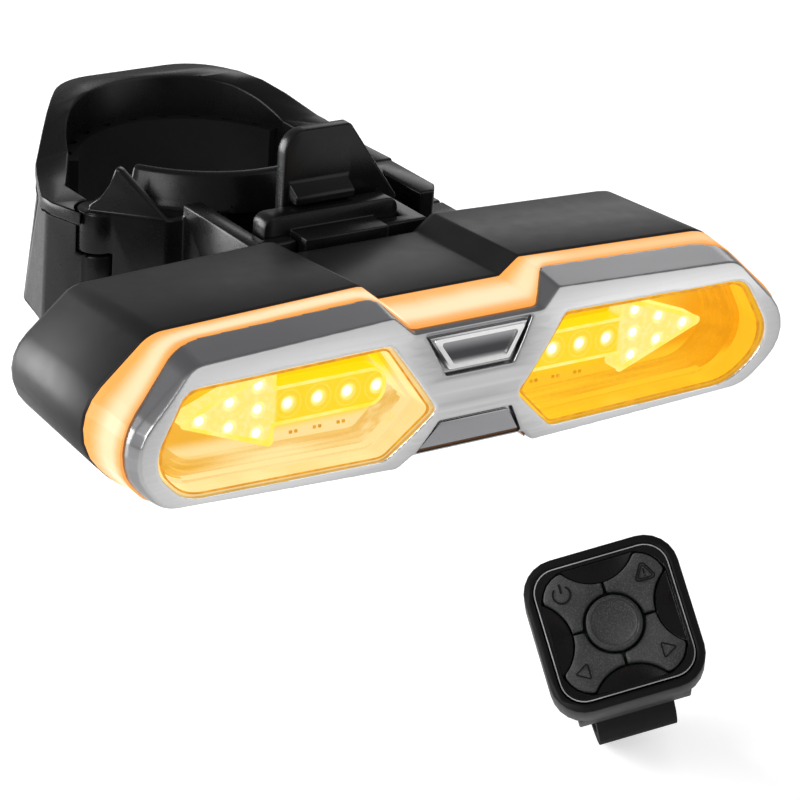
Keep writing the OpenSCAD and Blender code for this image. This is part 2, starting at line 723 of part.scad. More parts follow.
// Remote, drawn with the handlebar's axis along X through its own origin and its face up
module at_remote() {
    translate(remote_face) rotate([0, 0, remote_yaw]) rotate([remote_tilt, 0, 0])
        rotate([0, 0, remote_roll]) translate([0, 0, -key_top]) children();
}
module slab(w, r, z0, z1) {
    translate([0, 0, z0]) linear_extrude(z1 - z0) polygon(pill(w, w, r));
}
case_r = 0.22 * remote_w;
rim_w = remote_w - 2 * case_t - 0.2;
clover_w = rim_w - 2;
base_half = 10;
base_side = 12.8;
base_foot = 9.6;
module remote_base() {
    color("#131315") at_remote() difference() {
        rotate([90, 0, 90]) translate([0, 0, -base_half]) linear_extrude(2 * base_half)
            polygon([[-base_side, base_foot], [base_side, base_foot], [base_side, case_low - 1.4],
                [base_side - 1.4, case_low], [1.4 - base_side, case_low], [-base_side, case_low - 1.4]]);
        along_x(base_low, -base_half - cut, base_half + cut);
    }
}
module ring_part(r0, r1, a0, a1, half) {
    // A stretch of a ring round the bar, with angles measured from the face's side
    rotate([0, 90, 0]) rotate([0, 0, 180]) translate([0, 0, -half])
        rotate_extrude(angle = a1 - a0, start = a0) translate([r0, 0]) square([r1 - r0, 2 * half]);
}
module remote_pad() {
    color("#0d0d0e") at_remote() ring_part(bar_r, base_low, -44, 44, strap_w / 2);
}
strap_t = 2.2;
strap_end = 57;
module remote_strap() {
    color("#101012") at_remote() {
        ring_part(bar_r, bar_r + strap_t, strap_end, 360 - strap_end, strap_w / 2);
        for (s = [-1, 1])
            translate([-strap_w / 2, s * (base_side - 1.3) - 0.9, base_foot - 2.3]) cube([strap_w, 1.8, 2.3]);
    }
}
peg = remote_w / 2 - 5.4;
module remote_case() {
    color("#151517") at_remote() {
        difference() {
            slab(remote_w, case_r, case_low, case_top);
            slab(remote_w - 2 * case_t, case_r - case_t, case_low + case_floor, case_top + cut);
        }
        for (x = [-peg, peg], y = [-peg, peg])
            translate([x, y, case_low + 1]) cylinder(r = 1.4, h = remote_board_low - case_low - 1);
    }
}
bite_r = 0.28 * remote_w;
bite_depth = 0.125 * remote_w;
petal_r = 0.19 * remote_w;
dish_r = 30;
dish_depth = 0.7;
module clover(d) {
    // A rounded square with a bite out of each side, drawn in by d
    half = clover_w / 2;
    difference() {
        polygon(pill(clover_w - 2 * d, clover_w - 2 * d, petal_r - d));
        for (a = [0:90:270]) rotate(a) translate([half + bite_r - bite_depth, 0]) circle(r = bite_r + d);
    }
}
module remote_rim() {
    color("#1d1d20") at_remote() difference() {
        slab(rim_w, case_r - case_t - 0.1, case_top - rim_t, case_top + 0.3);
        translate([0, 0, case_top - rim_t - cut]) linear_extrude(rim_t + 2 * cut) clover(0);
        // Glossy dished inset at the middle of each side, inside a level border
        intersection() {
            slab(clover_w + 0.4, petal_r, case_top - rim_t, case_top + cut);
            for (a = [0:90:270]) rotate([0, 0, a])
                translate([clover_w / 2 - 1, 0, case_top + dish_r - dish_depth])
                    sphere(r = dish_r, $fn = 96);
        }
    }
}
module remote_board() {
    color("#20603a") at_remote()
        slab(rim_w - 1, case_r - case_t, remote_board_low, remote_board_low + remote_board_t);
}
key_at = 0.24 * remote_w;
module dome_switches() {
    spots = concat([[0, 0]], [for (x = [-key_at, key_at], y = [-key_at, key_at]) [x, y]]);
    color("#c9ccd0") at_remote() for (p = spots)
        translate([p.x, p.y, remote_board_low + remote_board_t]) cylinder(r = 2.2, h = dome_h);
}
module coin_cell() {
    color("#c5c8cc") at_remote() translate([0, 0, case_low + case_floor])
        cylinder(r = remote_w / 2 - 5.5, h = cell_h);
}
key_low = remote_board_low + remote_board_t + dome_h + key_travel + 0.1;
key_h = key_top - key_low;
module petal(a) {
    color("#2b2b2e") at_remote() rotate([0, 0, a]) difference() {
        translate([0, 0, key_low]) linear_extrude(key_h) intersection() {
            clover(key_gap);
            translate([key_gap, key_gap]) square(remote_w);
        }
        translate([0, 0, key_low - cut]) cylinder(r = centre_r + 2 * key_gap, h = key_h + 2 * cut);
        // The keys dip a little towards the middle
        translate([0, 0, key_top + 59.2]) sphere(r = 60, $fn = 120);
    }
}
module hazard_key() { petal(0); }
module power_key() { petal(90); }
module left_key() { petal(180); }
module right_key() { petal(270); }
module centre_key() {
    color("#2b2b2e") at_remote() translate([0, 0, key_low]) rotate_extrude()
        polygon([[0, 0], [centre_r, 0], [centre_r, key_h - 0.5], [centre_r - 0.4, key_h - 0.1],
            [centre_r - 0.9, key_h - 0.1], [centre_r - 1.2, key_h - 0.4], [0, key_h - 0.4]]);
}

saddle();
saddle_pad();
hinge_pin();
screw_insert();
band();
band_pad();
clamp_screw();
latch_pin();
latch_tongue();
slide_foot();
foot_screws();
rear_housing();
seal_ring();
light_guide();
bezel();
badge_plate();
lower_plate();
left_lens();
right_lens();
left_tray();
right_tray();
left_arrow();
right_arrow();
led_board();
leds();
main_board();
battery();
usb_socket();
power_switch();
power_button();
port_cover();
remote_base();
remote_pad();
remote_strap();
remote_case();
remote_rim();
remote_board();
dome_switches();
coin_cell();
power_key();
hazard_key();
left_key();
right_key();
centre_key();
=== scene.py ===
import math

import bmesh
import bpy
import numpy as np
from mathutils import Matrix, Vector
from mathutils.bvhtree import BVHTree


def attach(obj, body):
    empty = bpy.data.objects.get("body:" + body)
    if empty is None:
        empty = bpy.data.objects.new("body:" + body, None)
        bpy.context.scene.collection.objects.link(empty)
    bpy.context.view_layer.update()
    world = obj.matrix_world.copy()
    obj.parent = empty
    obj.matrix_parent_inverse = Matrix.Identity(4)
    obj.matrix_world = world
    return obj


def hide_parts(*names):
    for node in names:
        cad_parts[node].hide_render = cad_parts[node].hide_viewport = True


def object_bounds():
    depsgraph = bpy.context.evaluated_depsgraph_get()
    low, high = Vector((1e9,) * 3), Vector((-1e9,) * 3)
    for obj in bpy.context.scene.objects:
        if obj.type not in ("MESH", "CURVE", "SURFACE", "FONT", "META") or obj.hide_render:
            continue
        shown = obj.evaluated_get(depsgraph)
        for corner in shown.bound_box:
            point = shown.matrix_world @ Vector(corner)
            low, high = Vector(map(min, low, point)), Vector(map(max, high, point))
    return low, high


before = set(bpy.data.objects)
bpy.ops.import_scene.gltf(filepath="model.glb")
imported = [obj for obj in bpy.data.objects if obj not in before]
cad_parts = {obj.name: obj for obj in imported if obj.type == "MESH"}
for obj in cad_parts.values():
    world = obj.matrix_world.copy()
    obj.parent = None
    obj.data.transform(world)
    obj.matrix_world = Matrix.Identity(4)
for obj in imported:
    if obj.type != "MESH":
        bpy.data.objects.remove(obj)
cadBox = [list(corner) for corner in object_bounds()]
scene = bpy.context.scene
mm = 0.001
perMetre = 1000.0  # mm in a metre
noiseSpan = (0.3, 0.7)  # the stretch of a noise's range that most finishes use
black = (0.0, 0.0, 0.0)
white = (1.0, 1.0, 1.0)
sides = [("left", -1), ("right", 1)]
print("stage: frame loaded")


def setUpView():
    view = {
        "eye": (-233.1, -378.0, 166.95),  # mm
        "right": (0.8285, -0.5565, 0.0631),
        "up": (0.1735, 0.3621, 0.9159),
        "ahead": (0.5326, 0.7478, -0.3965),
        "lens": 157.8,
        "sensor": 36,
        "near": 0.01,  # m
    }
    data = bpy.data.cameras.new("camera")
    data.lens = view["lens"]
    data.sensor_width = view["sensor"]
    data.clip_start = view["near"]
    camera = bpy.data.objects.new("camera", data)
    back = -Vector(view["ahead"])
    turn = Matrix((view["right"], view["up"], back)).transposed().to_4x4()
    camera.matrix_world = Matrix.Translation(Vector(view["eye"]) * mm) @ turn
    scene.collection.objects.link(camera)
    scene.camera = camera
    scene.view_settings.view_transform = "Standard"


class Sock:
    def __init__(self, tree, socket):
        self.tree = tree
        self.socket = socket

    def node(self, kind, out=0, props=None, **inputs):
        made = self.tree.nodes.new(kind)
        for key, value in (props or {}).items():
            setattr(made, key, value)
        for key, value in inputs.items():
            numbered = key[0] == "i" and key[1:].isdigit()  # i0, i1 and so on give a socket by its place
            plug(self.tree, made.inputs[int(key[1:]) if numbered else key], value)
        return Sock(self.tree, made.outputs[out])

    def math(self, name, *others):
        return self.node("ShaderNodeMath", props={"operation": name}, i0=self,
                         **{f"i{n + 1}": other for n, other in enumerate(others)})

    def __add__(self, other):
        return self.math("ADD", other)

    def __radd__(self, other):
        return self + other

    def __sub__(self, other):
        return self.math("SUBTRACT", other)

    def __rsub__(self, other):
        return self.node("ShaderNodeMath", props={"operation": "SUBTRACT"}, i0=other, i1=self)

    def __mul__(self, other):
        return self.math("MULTIPLY", other)

    def __rmul__(self, other):
        return self * other

    def __truediv__(self, other):
        return self.math("DIVIDE", other)

    def __neg__(self):
        return self * -1.0

    def __abs__(self):
        return self.math("ABSOLUTE")

    def least(self, other):
        return self.math("MINIMUM", other)

    def step(self, low, high):  # 0 at low and 1 at high, which may be the smaller one
        return self.node("ShaderNodeMapRange", props={"interpolation_type": "SMOOTHSTEP"},
                         i0=self, i1=low, i2=high, i3=0.0, i4=1.0)

    def blend(self, first, second):
        return self.node("ShaderNodeMix", out=2, props={"data_type": "RGBA"}, i0=self, i6=first, i7=second)


def plug(tree, target, value):
    if isinstance(value, Sock):
        tree.links.new(value.socket, target)
    elif isinstance(value, tuple) and len(value) == 3 and target.type == "RGBA":
        target.default_value = (*value, 1.0)
    else:
        target.default_value = value


def srgb(red, green, blue):
    def linear(level):  # undoes the sRGB curve
        share = level / 255
        return share / 12.92 if share <= 0.04045 else ((share + 0.055) / 1.055) ** 2.4
    return linear(red), linear(green), linear(blue)


class Finish:
    def __init__(self, name, **constants):
        self.material = bpy.data.materials.new(name)
        self.material.use_nodes = True
        self.tree = self.material.node_tree
        self.shader = self.tree.nodes["Principled BSDF"]
        self.set(**constants)
        coords = self.tree.nodes.new("ShaderNodeTexCoord")
        self.place = Sock(self.tree, coords.outputs["Object"])
        parts = self.place.node("ShaderNodeSeparateXYZ", i0=self.place).socket.node
        self.x, self.y, self.z = (Sock(self.tree, parts.outputs[n]) * perMetre for n in range(3))

    def set(self, **values):
        for key, value in values.items():
            plug(self.tree, self.shader.inputs[key.replace("_", " ")], value)
        return self

    def noise(self, scale, detail=2.0, stretch=(1, 1, 1)):
        where = self.place.node("ShaderNodeMapping", i0=self.place, Scale=Vector(stretch))
        return self.place.node("ShaderNodeTexNoise", i0=where, Scale=scale, Detail=detail)

    def bump(self, height, strength, depth):
        relief = self.place.node("ShaderNodeBump", Strength=strength, Distance=depth, Height=height)
        return self.set(Normal=relief)


grain = {
    "cloudScale": 90.0, "wearScale": 400.0, "wear": 0.12,
    "fleckScale": 1.1, "fleckSpan": (0.45, 0.75), "fleckGain": 2.6,  # finer and lighter than the grain
}


def grained(name, colour, rough, scale, strength, depth=0.00005, spread=0.25, shine=0.3, speck=0.0):
    coat = Finish(name, Roughness=rough, Specular_IOR_Level=shine)
    cloud = coat.noise(grain["cloudScale"], 3.0).step(*noiseSpan)
    tone = cloud.blend(tuple(c * (1 - spread) for c in colour), tuple(c * (1 + spread) for c in colour))
    if speck:
        fleck = coat.noise(grain["fleckScale"] * scale, 2.0).step(*grain["fleckSpan"]) * speck
        tone = fleck.blend(tone, tuple(c * grain["fleckGain"] for c in colour))
    coat.set(Base_Color=tone)
    coat.set(Roughness=coat.noise(grain["wearScale"]) * grain["wear"] + (rough - grain["wear"] / 2))
    coat.bump(coat.noise(scale, 4.0), strength, depth)
    return coat


def makePlain():
    coats = [
        grained("bracketPlastic", (0.0035, 0.0035, 0.0037), 0.28, 5200.0, 0.2, shine=0.25, speck=0.3),
        grained("gripRubber", (0.005, 0.005, 0.0052), 0.7, 3000.0, 0.2, shine=0.15),
        grained("housingPlastic", (0.011, 0.011, 0.0115), 0.4, 6500.0, 0.1, shine=0.25),
        grained("remotePlastic", (0.005, 0.005, 0.0053), 0.4, 5200.0, 0.15, shine=0.2),
        grained("keyRubber", (0.052, 0.052, 0.053), 0.6, 3600.0, 0.6, 0.00012, shine=0.2, speck=0.5),
        grained("boardWhite", (0.75, 0.72, 0.62), 0.5, 3000.0, 0.1),
        grained("boardGreen", (0.01, 0.05, 0.018), 0.45, 3000.0, 0.1),
        grained("switchBlack", (0.02, 0.02, 0.021), 0.5, 3000.0, 0.2),
        grained("iconInk", (0.003, 0.003, 0.003), 0.35, 3000.0, 0.1),
        # a light grey ring painted on as the highlight along the remote's rim
        grained("paintedEdgeHighlight", (0.4, 0.4, 0.41), 0.3, 3000.0, 0.03),
    ]
    gloss = grained("remoteGloss", (0.003, 0.003, 0.0033), 0.28, 3000.0, 0.03)
    coats.append(gloss.set(Coat_Weight=gloss.noise(40.0).step(0.2, 0.8) * 0.1))
    metals = [("plainSteel", (0.55, 0.56, 0.58), 0.28), ("insertBrass", (0.68, 0.46, 0.18), 0.3),
              ("cellMetal", (0.55, 0.57, 0.6), 0.35)]
    for name, colour, rough in metals:
        coats.append(grained(name, colour, rough, 2500.0, 0.08, spread=0.1).set(Metallic=1.0))
    return {coat.material.name: coat.material for coat in coats}


lamp = {  # mm; fronts and floors are depths in front of the seatpost's axis
    "z": 2.75, "half": 49.8,
    "houseFront": 57.0, "guideFront": 60.5, "crest": 64.9, "ridge": 67.0,
    "trayFloor": 58.8, "arrowFront": 61.2, "lensBack": 62.6,
}


def makeChrome():
    plate = {"band": (3.6, 5.8), "foot": (1.9, 3.1)}  # mm above the lamp's line; the plate is painted with a bright reflection at its foot and a dark reflection band above it
    chromes = [("chromeBezel", (0.28, 0.28, 0.285), (0.84, 0.84, 0.83), 0.28),
               ("chromeFrame", (0.84, 0.84, 0.83), (0.92, 0.92, 0.9), 0.3),
               ("chromeLower", (0.36, 0.36, 0.37), (0.46, 0.46, 0.47), 0.25),
               ("chromePlate", (0.5, 0.5, 0.51), (0.6, 0.6, 0.61), 0.22)]
    made = {}
    for name, dark, light, rough in chromes:
        coat = Finish(name, Metallic=1.0, Specular_IOR_Level=0.5)
        cloud = coat.noise(30.0, 1.0, (1.0, 1.0, 2.0)).step(*noiseSpan)
        if name == "chromeBezel":
            # the chrome runs from its dark to its light colour by the painted reflections and shade in the
            # tone attribute
            tone = coat.place.node("ShaderNodeAttribute", out=2, props={"attribute_name": "tone"})
            colour = (tone + cloud * 0.08).least(1.0).blend(dark, light)
        else:
            colour = cloud.blend(dark, light)
        # painted reflection on the badge plate: a dark band, with a bright foot below it
        if name == "chromePlate":
            height = coat.z - lamp["z"]
            darkBandReflection = height.step(*plate["band"]).blend((0.08, 0.08, 0.085), colour)
            colour = height.step(*plate["foot"]).blend((0.9, 0.9, 0.9), darkBandReflection)
        coat.set(Base_Color=colour, Roughness=coat.noise(300.0) * 0.04 + rough)
        made[name] = coat.material
    return made


arrow = {  # mm, from the lamp's middle
    "z": -1.2, "root": 9.75, "shaft": 2.5, "barbX": 25.5, "barb": 5.3,
    "columnX": 27.8, "pitch": 4.2, "columnRise": 3.05, "pairRise": 1.6,
    "pairAt": 0.93, "tipAt": 1.9,  # in pitches, beyond the column of three
    "tipGap": 3.7, "endRadius": 2.2, "neckRadius": 0.4, "pointRadius": 0.6,
    "barbSlope": 2.2, "tipSlope": 2.4,  # how far an inset of 1 mm draws the barbs and the tip in
}
ledPlaces = ([(arrow["columnX"] - arrow["pitch"] * n, 0.0) for n in range(1, 5)]
             + [(arrow["columnX"], arrow["columnRise"] * k) for k in (-1, 0, 1)]
             + [(arrow["columnX"] + arrow["pairAt"] * arrow["pitch"], arrow["pairRise"] * k) for k in (-1, 1)]
             + [(arrow["columnX"] + arrow["tipAt"] * arrow["pitch"], 0.0)])


def lightDistance(glow):
    across = abs(glow.x)
    height = glow.z - (lamp["z"] + arrow["z"])
    near = None
    for x, z in ledPlaces:
        dx, dz = across - x, height - z
        away = (dx * dx + dz * dz).math("SQRT")
        near = away if near is None else near.least(away)
    return near


def lit(name, rough=0.3, power=1.0):
    return Finish(name, Base_Color=black, Roughness=rough, Emission_Strength=power)


def guideGlow():
    fade = {  # mm, where each part starts and where it is full
        "waist": (14.0, 9.0), "nose": (36.0, 49.0), "rightEnd": (9.0, 20.0),
        "underSide": (15.0, 11.0), "underLow": (-4.0, -6.0),
    }
    guide = Finish("guideGlow", Base_Color=(0.2, 0.08, 0.02), Roughness=0.25, Specular_IOR_Level=0.08,
                   Emission_Strength=1.0)
    across = abs(guide.x)
    wide = (across.step(*fade["waist"]) + across.step(*fade["nose"])) * (lamp["crest"] - lamp["guideFront"])
    depth = (-guide.y - lamp["houseFront"]) / (wide + (lamp["guideFront"] - lamp["houseFront"]))
    wander = guide.noise(70.0, 2.0, (1.0, 0.4, 1.0)) * 0.4 - 0.2
    core = abs(depth + wander - 0.6).step(0.5, 0.05)
    lip = depth.step(0.72, 1.0) * 0.8
    glow = core.blend(srgb(250, 168, 84), srgb(255, 226, 186))
    glow = (guide.x.step(*fade["rightEnd"]) * 0.65).blend(glow, srgb(248, 160, 62))
    glow = lip.blend(glow, srgb(247, 156, 66))
    under = across.step(*fade["underSide"]) * (guide.z - lamp["z"]).step(*fade["underLow"])
    guide.set(Emission_Color=under.blend(glow, srgb(70, 52, 40)))  # the edge below the waist is unlit
    return guide.material


def windowGlow(side, floor, warm, cream):
    fade = {"tip": (27.0, 40.0), "low": (5.2, 7.0), "root": (11.5, 8.5), "stepTip": (27.0, 44.0)}  # mm
    # painted light: the tray, its walls and its steps are no lamps; their glow stands in for the lights' glow
    # falling on them, warmer towards the arrow's tip and creamier low down and by the root
    tray = lit(side + "TrayGlow")
    across = abs(tray.x)
    height = tray.z - lamp["z"]
    streak = tray.noise(260.0, 2.0, (0.15, 1.0, 1.0))
    tip = (across - height).step(*fade["tip"])
    low = (streak * 1.5 - height).step(*fade["low"])
    root = across.step(*fade["root"])
    colour = tip.blend(floor, warm)
    colour = root.blend(colour, cream)
    colour = low.blend(colour, cream)
    tray.set(Emission_Color=colour)

    wall = lit(side + "WallGlow")
    drift = wall.noise(180.0, 2.0, (1.0, 0.3, 1.0)).step(*noiseSpan)
    wall.set(Emission_Color=drift.blend(cream, tuple(0.75 * c + 0.25 * w for c, w in zip(cream, warm))))

    tread = lit(side + "StepGlow")
    band = tread.noise(500.0, 2.0, (0.1, 1.0, 1.0)).step(0.35, 0.65)
    glow = abs(tread.x).step(*fade["stepTip"]).blend(cream, warm)
    tread.set(Emission_Color=(band * 0.7).blend(glow, tuple(c * 0.85 for c in warm)))
    return {coat.material.name: coat.material for coat in (tray, wall, tread)}


def arrowGlow():
    neck = (arrow["barbX"] - 0.4, arrow["barbX"] + 0.1)
    ripple = {"radius": 1.75, "edge": (0.16, 0.02), "halo": (1.4, 0.4)}  # mm round each light
    face = lit("arrowGlow")
    near = lightDistance(face)
    head = abs(face.x).step(*neck)
    sparkle = face.noise(1400.0, 1.0).step(0.4, 0.7) * 0.35
    pale = sparkle.blend(srgb(255, 236, 120), srgb(255, 249, 190))
    fill = head.blend(srgb(255, 218, 16), pale)
    ring = abs(near - ripple["radius"]).step(*ripple["edge"]) * (1.0 - head) * 0.35
    fill = ring.blend(fill, srgb(255, 240, 120))
    halo = near.step(*ripple["halo"]) * 0.6
    face.set(Emission_Color=halo.blend(fill, srgb(255, 253, 226)))
    return face.material


def smallGlow():
    trim = lit("arrowLine")
    trim.set(Emission_Color=trim.noise(300.0).step(*noiseSpan).blend(srgb(255, 238, 60), srgb(255, 246, 140)))

    led = lit("ledGlow", rough=0.2, power=1.2)
    bowl = led.noise(900.0).step(*noiseSpan).blend(srgb(255, 232, 110), srgb(255, 240, 140))
    led.set(Emission_Color=lightDistance(led).step(0.85, 0.4).blend(bowl, (1.0, 1.0, 0.97)))

    # painted light: the resistors are no lamps; their glow stands in for the light falling on them, and the
    # same colour draws the window's edge line
    dot = lit("resistorGlow", rough=0.4)
    dot.set(Emission_Color=dot.noise(900.0).step(*noiseSpan).blend(srgb(214, 138, 10), srgb(240, 164, 20)))

    glass = Finish("lensClear", Base_Color=srgb(255, 216, 60), Roughness=0.04, Specular_IOR_Level=0.2)
    glass.set(Alpha=glass.noise(120.0).step(*noiseSpan) * 0.02 + 0.03)
    return {coat.material.name: coat.material for coat in (trim, led, dot, glass)}


def makeFinishes():
    made = {**makePlain(), **makeChrome()}
    made["guideGlow"] = guideGlow()
    made.update(windowGlow("left", srgb(255, 214, 0), srgb(246, 178, 44), srgb(255, 226, 158)))
    made.update(windowGlow("right", srgb(255, 203, 0), srgb(248, 160, 20), srgb(255, 196, 40)))
    made["arrowGlow"] = arrowGlow()
    made.update(smallGlow())
    return made


setUpView()
finish = makeFinishes()
print("stage: view and finishes made")


def setWorld():
    world = bpy.data.worlds.new("studio")
    scene.world = world
    world.use_nodes = True
    tree = world.node_tree
    sky = tree.nodes["Background"]
    rays = tree.nodes.new("ShaderNodeLightPath").outputs
    seen = Sock(tree, rays["Is Camera Ray"])
    glossy = Sock(tree, rays["Is Glossy Ray"])
    dim = glossy.blend((0.3, 0.3, 0.31), (0.28, 0.28, 0.29))
    plug(tree, sky.inputs["Color"], seen.blend(dim, white))
    sky.inputs["Strength"].default_value = 1.0


def layFloor():
    studio = {
        "drop": 0.0005, "half": 3.0,  # m
        "seen": (0.56, 0.56, 0.56), "mirrored": (0.1, 0.1, 0.1),  # its own light, to the camera and in gloss
    }
    half = studio["half"]
    z = cadBox[0][2] - studio["drop"]
    corners = [(-half, -half, z), (half, -half, z), (half, half, z), (-half, half, z)]
    mesh = bpy.data.meshes.new("floor")
    mesh.from_pydata(corners, [], [(0, 1, 2, 3)])
    floor = bpy.data.objects.new("floor", mesh)
    scene.collection.objects.link(floor)
    paint = Finish("floorPaint", Roughness=0.9, Emission_Strength=1.0)
    paint.set(Base_Color=paint.noise(4.0).step(*noiseSpan).blend((0.78, 0.78, 0.78), (0.82, 0.82, 0.82)))
    rays = paint.tree.nodes.new("ShaderNodeLightPath").outputs
    seen = Sock(paint.tree, rays["Is Camera Ray"])
    glossy = Sock(paint.tree, rays["Is Glossy Ray"])
    paint.set(Emission_Color=seen.blend(glossy.blend(black, studio["mirrored"]), studio["seen"]))
    mesh.materials.append(paint.material)


def hangLights():
    lights = [  # name, place and size in metres, power in watts
        ("key", (-0.75, -0.3, 0.45), 0.5, 4.0),
        ("fill", (0.6, -0.7, 0.35), 1.0, 2.2),
        ("side", (-0.62, 0.72, 0.12), 0.7, 14.0),
        ("rear", (0.8, 0.75, 0.45), 0.6, 1.3),
    ]
    for name, at, size, power in lights:
        data = bpy.data.lights.new(name, "AREA")
        data.shape = "DISK"
        data.size = size
        data.energy = power
        obj = bpy.data.objects.new(name, data)
        obj.location = at
        obj.rotation_euler = (-Vector(at)).to_track_quat("-Z", "Y").to_euler()
        scene.collection.objects.link(obj)


setWorld()
layFloor()
hangLights()
print("stage: floor and lights set")


def addMesh(name, mesh, body, materials, replaced=()):
    obj = bpy.data.objects.new(name, mesh)
    scene.collection.objects.link(obj)
    mesh.materials.clear()
    for item in materials:
        mesh.materials.append(finish[item])
    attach(obj, body)
    if replaced:
        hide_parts(*replaced)
    return obj


def smooth(mesh, angle=32):
    for face in mesh.polygons:
        face.use_smooth = True
    mesh.set_sharp_from_angle(angle=math.radians(angle))


def skin(node, body, material, width, angle=28):
    rounding = {
        "merge": 1e-6,  # m
        "flat": 0.8,  # degrees
        "segments": 2, "profile": 0.5,
        "stray": 0.45,  # of the width
    }
    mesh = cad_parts[node].data.copy()
    mesh.name = node + "Skin"
    shape = bmesh.new()
    shape.from_mesh(mesh)
    bmesh.ops.remove_doubles(shape, verts=shape.verts, dist=rounding["merge"])
    bmesh.ops.dissolve_limit(shape, angle_limit=math.radians(rounding["flat"]),
                             verts=shape.verts, edges=shape.edges)
    solid = BVHTree.FromBMesh(shape)
    sharp = [edge for edge in shape.edges
             if edge.is_manifold and edge.calc_face_angle() > math.radians(angle)]
    bmesh.ops.bevel(shape, geom=sharp, offset=width * mm, segments=rounding["segments"],
                    profile=rounding["profile"], affect="EDGES", clamp_overlap=False, loop_slide=True)
    for vert in shape.verts:  # a point that strays too far goes back onto the solid
        spot, _, _, away = solid.find_nearest(vert.co)
        if away > rounding["stray"] * width * mm:
            vert.co = spot
    shape.normal_update()
    shape.to_mesh(mesh)
    shape.free()
    addMesh(node + "Skin", mesh, body, [material], [node])
    smooth(mesh)


def softSkin(node, body, material, voxel, rounds, share):
    work = bpy.data.objects.new(node + "Work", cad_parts[node].data.copy())
    scene.collection.objects.link(work)
    blocks = work.modifiers.new("blocks", "REMESH")
    blocks.mode = "VOXEL"
    blocks.voxel_size = voxel * mm
    soft = work.modifiers.new("soft", "SMOOTH")
    soft.factor = 0.5
    soft.iterations = rounds
    fewer = work.modifiers.new("fewer", "DECIMATE")
    fewer.ratio = share
    bpy.context.view_layer.update()
    mesh = bpy.data.meshes.new_from_object(work.evaluated_get(bpy.context.evaluated_depsgraph_get()))
    bpy.data.objects.remove(work)
    mesh.name = node + "Skin"
    for face in mesh.polygons:
        face.use_smooth = True
    return addMesh(node + "Skin", mesh, body, [material], [node])


def rounded(corners, steps=6):
    points = []
    for n, (x, y, radius) in enumerate(corners):
        corner = Vector((x, y))
        back = (Vector(corners[n - 1][:2]) - corner).normalized()
        onward = (Vector(corners[(n + 1) % len(corners)][:2]) - corner).normalized()
        half = math.acos(max(-1.0, min(1.0, back.dot(onward)))) / 2
        centre = corner + (back + onward).normalized() * radius / math.sin(half)
        first, last = (corner + way * radius / math.tan(half) - centre for way in (back, onward))
        start = math.atan2(first.y, first.x)
        sweep = math.remainder(math.atan2(last.y, last.x) - start, 2 * math.pi)
        for k in range(steps + 1):
            angle = start + sweep * k / steps
            points.append(centre + Vector((math.cos(angle), math.sin(angle))) * radius)
    return points


windowCorners = [  # x, z and radius in mm, then how far a margin of 1 mm moves the corner
    (12.4, -8.9, 2, -0.4, -1.0),
    (lamp["half"] - 9.9, -8.2, 6, 0.5, -1.0),
    (lamp["half"] - 4.5, -3, 5, 1.2, 0.0),
    (lamp["half"] - 9.1, 5.3, 3, 0.5, 1.0),
    (13, 5.7, 1.2, -0.6, 1.0),
    (6.5, -3.2, 0.9, -1.3, 0.0),
]


def windowLoop(margin):
    return rounded([(x + outX * margin, z + outZ * margin, radius)
                    for x, z, radius, outX, outZ in windowCorners])


bezel = {
    "lobe": 26.0, "inner": 4.0, "outer": 46.2, "low": -9.6, "high": 7.4,  # mm, the room round a window
    "turned": 0.45, "turn": 0.25,  # painted reflection: a face is painted light once it looks forward
    "shadeStart": 0.3, "shadeEnd": 4.2, "shadeMost": 0.85,  # mm, painted shade: the chrome is painted darker away from the windows
    "rounds": 3,
}


# painted reflection: a point is painted light where its face looks forward or into a window, and dark where
# it looks aside
def paintedBezelSheen(vert):
    normal = vert.normal
    spot = vert.co * perMetre
    height = spot.z - lamp["z"]
    inward = (spot.x - math.copysign(bezel["lobe"], spot.x)) * normal.x + height * normal.z
    byWindow = bezel["inner"] < abs(spot.x) < bezel["outer"] and bezel["low"] < height < bezel["high"]
    # faces by a window that look into it are painted fully light
    if inward < 0 and byWindow:
        return 1.0
    return min(1.0, max(0.0, (-normal.y - bezel["turned"]) / bezel["turn"]))


def windowDistance(spots):
    rim = np.array([tuple(p) for p in windowLoop(0.0)])
    near = np.full(len(spots), np.inf)
    for start, end in zip(rim, np.roll(rim, -1, axis=0)):
        along = end - start
        share = np.clip((spots - start) @ along / (along @ along), 0.0, 1.0)
        near = np.minimum(near, np.linalg.norm(spots - start - share[:, None] * along, axis=1))
    return near


# paints the bezel's reflections and shade into its tone attribute, then smooths them
def paintBezelSheenAndShade(mesh):
    tone = np.array([paintedBezelSheen(vert) for vert in mesh.vertices])
    spots = np.array([(abs(vert.co.x) / mm, vert.co.z / mm - lamp["z"]) for vert in mesh.vertices])
    # painted shade: the tone falls off with distance from the window's edge
    away = (windowDistance(spots) - bezel["shadeStart"]) / (bezel["shadeEnd"] - bezel["shadeStart"])
    tone *= 1.0 - bezel["shadeMost"] * np.clip(away, 0.0, 1.0)
    ends = np.empty(len(mesh.edges) * 2, dtype=np.int32)
    mesh.edges.foreach_get("vertices", ends)
    first, second = ends[0::2], ends[1::2]
    for _ in range(bezel["rounds"]):  # each point takes the mean of itself and its neighbours
        total, count = tone.copy(), np.ones(len(tone))
        for here, there in ((first, second), (second, first)):
            np.add.at(total, here, tone[there])
            np.add.at(count, here, 1.0)
        tone = total / count
    mesh.attributes.new("tone", "FLOAT", "POINT").data.foreach_set("value", tone.astype(np.float32))


